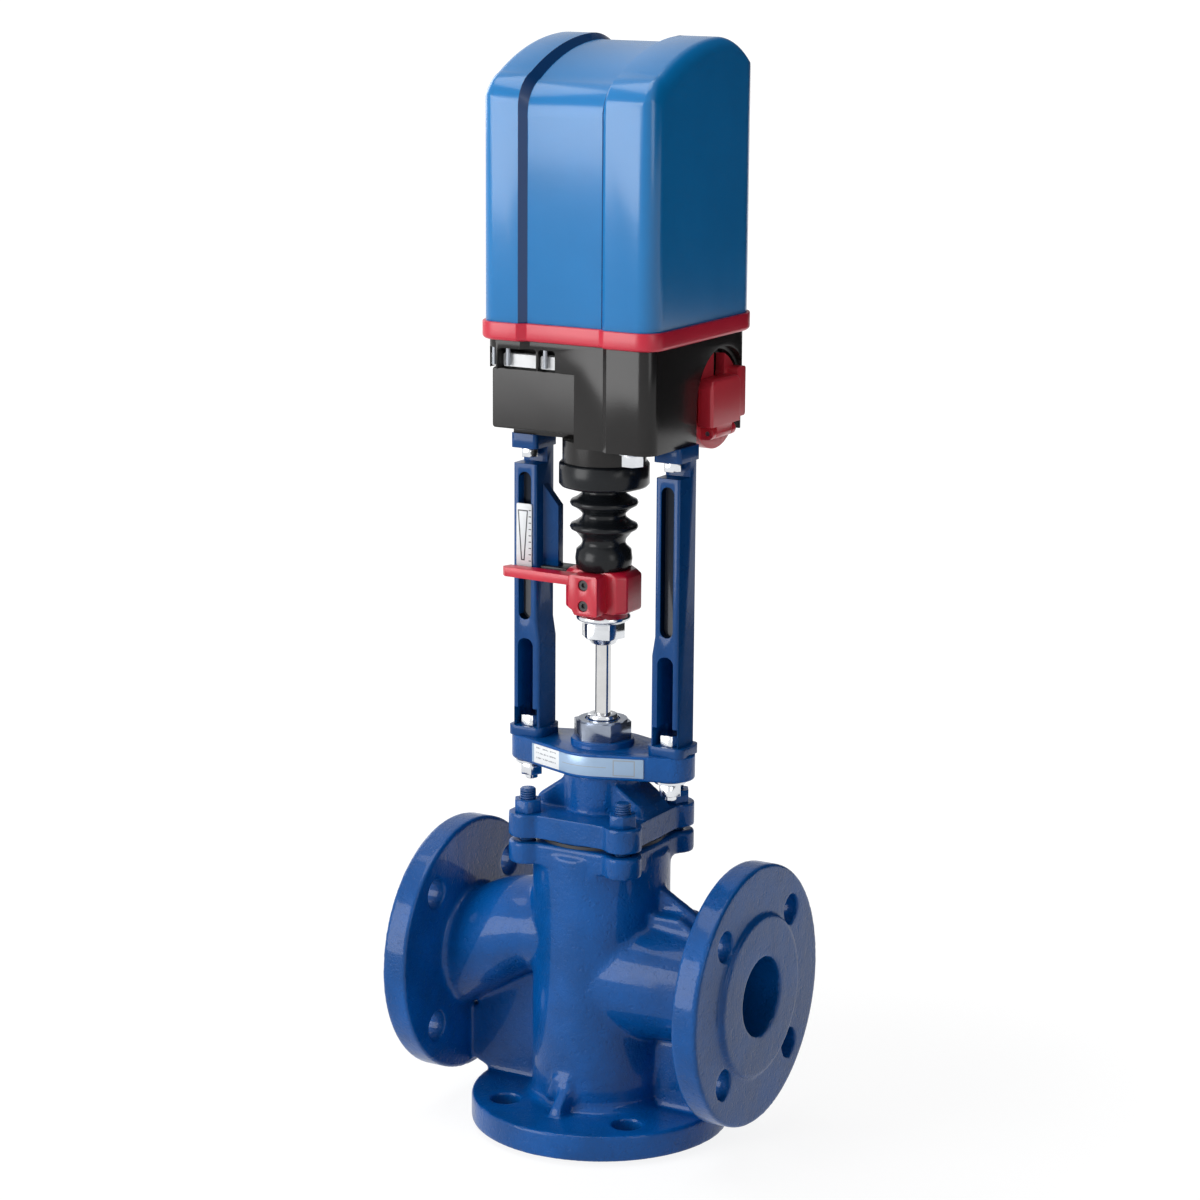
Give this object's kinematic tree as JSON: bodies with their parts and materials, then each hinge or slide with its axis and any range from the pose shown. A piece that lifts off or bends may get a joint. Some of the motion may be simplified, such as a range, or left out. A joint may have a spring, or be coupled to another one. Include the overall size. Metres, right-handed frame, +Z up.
{
  "type": "three-way control valve",
  "caption": "Flanged three-way mixing control valve with an electric actuator on a two-column yoke, hand crank and stroke pointer.",
  "frame": {"origin": "centre of the bottom port's raised sealing face", "axes": "+Z up along the stem, +X along the pipe axis to the right port, -Y to the side with the pointer and the nameplate"},
  "size_m": [0.23, 0.1738, 0.6862],
  "materials": {
    "cast_blue": "satin paint",
    "stainless": "machined",
    "chrome": "bright",
    "graphite": "matt",
    "ptfe": "matt",
    "steel_dark": "oiled",
    "label": "satin",
    "column_blue": "satin paint",
    "coupling_red": "satin",
    "guide_black": "matt",
    "spindle_steel": "turned",
    "rubber": "matt",
    "housing_dark": "satin paint",
    "plug_white": "matt",
    "pin_grey": "satin",
    "band_red": "matt",
    "cover_blue": "semi gloss",
    "gear_steel": "machined",
    "bearing_bronze": "oiled",
    "crank_red": "semi gloss",
    "board_green": "satin",
    "switch_black": "matt"
  },
  "bodies": {
    "frame": {"base_housing": "housing_dark", "bellows": "rubber", "bonnet": "cast_blue", "bonnet_gasket": "graphite", "bonnet_nuts": "cast_blue", "bonnet_studs": "cast_blue", "circuit_board": "board_green", "column_left": "column_blue", "column_right": "column_blue", "cover": "cover_blue", "crank_bush": "bearing_bronze", "entry_pins": "pin_grey", "entry_plugs": "plug_white", "foot_bolts": "chrome", "foot_nuts": "chrome", "foot_washers": "chrome", "gear_plate": "spindle_steel", "guide_bush": "stainless", "head_bolts": "chrome", "housing_bolts": "chrome", "idler_shaft": "spindle_steel", "limit_switches": "switch_black", "lower_seat_ring": "stainless", "motor": "spindle_steel", "nameplate": "label", "nut_bearing_lower": "bearing_bronze", "nut_bearing_upper": "bearing_bronze", "packing_gland": "chrome", "packing_rings": "ptfe", "packing_springs": "stainless", "packing_washer": "stainless", "plate_pillars": "spindle_steel", "scale_plate": "label", "seal_band": "band_red", "spindle_neck": "housing_dark", "terminal_cover": "housing_dark", "upper_seat_ring": "stainless", "valve_body": "cast_blue", "yoke_clamp_nut": "steel_dark", "yoke_plate": "cast_blue"},
    "stem": {"valve_stem": "stainless", "valve_plug": "stainless", "plug_pin": "stainless", "lock_nut": "chrome", "coupling_washer": "chrome", "coupling_clamp": "coupling_red", "coupling_jaw": "coupling_red", "clamp_screws": "chrome", "pointer_arm": "coupling_red", "guide_fork": "guide_black", "drive_spindle": "spindle_steel", "trip_disc": "spindle_steel"},
    "spindle_nut": {"spindle_nut": "gear_steel"},
    "idler": {"idler_gear": "gear_steel"},
    "motor_rotor": {"motor_rotor": "gear_steel"},
    "crank": {"crank_shaft": "spindle_steel", "crank_bevel": "gear_steel", "crank_arm": "crank_red", "crank_hinge_pin": "spindle_steel"},
    "crank_handle": {"crank_handle": "crank_red"}
  },
  "joints": [
    {"name": "nut_turn", "type": "hinge", "parent": "frame", "child": "spindle_nut", "pos_m": [0, 0, 0.481], "axis": [0, 0, 1], "range_deg": [0, 720]},
    {"name": "stem_stroke", "type": "slide", "parent": "frame", "child": "stem", "axis": [0, 0, 1], "range_m": [0, 0.02], "deforming": ["bellows"]},
    {"name": "idler_turn", "type": "hinge", "parent": "frame", "child": "idler", "pos_m": [0, 0.045, 0.49], "axis": [0, 0, 1], "range_deg": [-1080, 0]},
    {"name": "motor_turn", "type": "hinge", "parent": "frame", "child": "motor_rotor", "pos_m": [-0.03, 0.045, 0.49], "axis": [0, 0, 1], "range_deg": [0, 3240]},
    {"name": "crank_turn", "type": "hinge", "parent": "frame", "child": "crank", "pos_m": [0.045, 0.045, 0.465], "axis": [1, 0, 0], "range_deg": [0, 1080]},
    {"name": "crank_handle_fold", "type": "hinge", "parent": "crank", "child": "crank_handle", "pos_m": [0.0575, 0.045, 0.447], "axis": [0, 1, 0], "range_deg": [0, 90]}
  ],
  "couplings": [
    {"joint": "nut_turn", "follows": "stem_stroke", "rad_per_m": 628.32},
    {"joint": "idler_turn", "follows": "stem_stroke", "rad_per_m": -942.48},
    {"joint": "motor_turn", "follows": "stem_stroke", "rad_per_m": 2827.4},
    {"joint": "crank_turn", "follows": "stem_stroke", "rad_per_m": 942.48}
  ]
}
